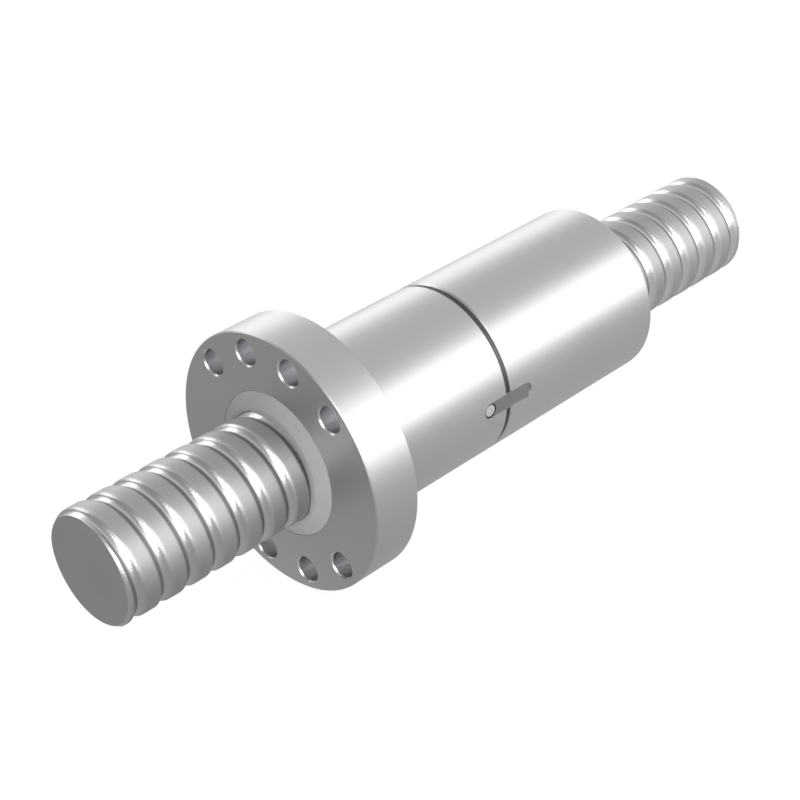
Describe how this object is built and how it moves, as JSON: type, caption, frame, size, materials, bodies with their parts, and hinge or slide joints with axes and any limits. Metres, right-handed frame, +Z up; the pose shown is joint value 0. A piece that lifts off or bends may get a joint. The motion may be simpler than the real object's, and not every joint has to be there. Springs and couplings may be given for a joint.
{
  "type": "ball screw",
  "caption": "Ball screw with a flanged double nut: turning the threaded shaft moves the nut along it on circulating balls.",
  "frame": {"origin": "centre of the flange's back (mounting) face, on the screw's axis", "axes": "+X along the axis from the flange to the nut's rear end, +Z up, lubrication port on the flange's rim towards +Y"},
  "size_m": [0.2982, 0.092, 0.092],
  "materials": {
    "shaft_steel": "ground thread, semi-gloss",
    "nut_steel": "fine ground, satin",
    "spacer_steel": "ground, dark satin",
    "key_steel": "dark satin",
    "screw_steel": "bright satin",
    "wiper_plastic": "matte, light grey",
    "ring_steel": "dark spring steel",
    "deflector_steel": "satin",
    "ball_steel": "polished"
  },
  "bodies": {
    "nut": {"flanged_nut": "nut_steel", "rear_nut": "nut_steel", "spacer_half_key": "spacer_steel", "spacer_half_plain": "spacer_steel", "nut_key": "key_steel", "key_screw": "screw_steel", "front_wiper": "wiper_plastic", "rear_wiper": "wiper_plastic", "front_snap_ring": "ring_steel", "front_deflector_1": "deflector_steel", "front_balls_1": "ball_steel", "front_deflector_2": "deflector_steel", "front_balls_2": "ball_steel", "front_deflector_3": "deflector_steel", "front_balls_3": "ball_steel", "rear_deflector_1": "deflector_steel", "rear_balls_1": "ball_steel", "rear_deflector_2": "deflector_steel", "rear_balls_2": "ball_steel", "rear_deflector_3": "deflector_steel", "rear_balls_3": "ball_steel"},
    "carrier": {"rear_snap_ring": "ring_steel"},
    "shaft": {"screw_shaft": "shaft_steel"}
  },
  "joints": [
    {"name": "screw_spin", "type": "hinge", "parent": "nut", "child": "carrier", "pos_m": [0, 0, 0], "axis": [1, 0, 0], "range_deg": [-2050, 2230]},
    {"name": "screw_travel", "type": "slide", "parent": "carrier", "child": "shaft", "axis": [1, 0, 0], "range_m": [-0.058, 0.063]}
  ],
  "couplings": [
    {"joint": "screw_travel", "follows": "screw_spin", "m_per_rad": 0.0015915}
  ]
}
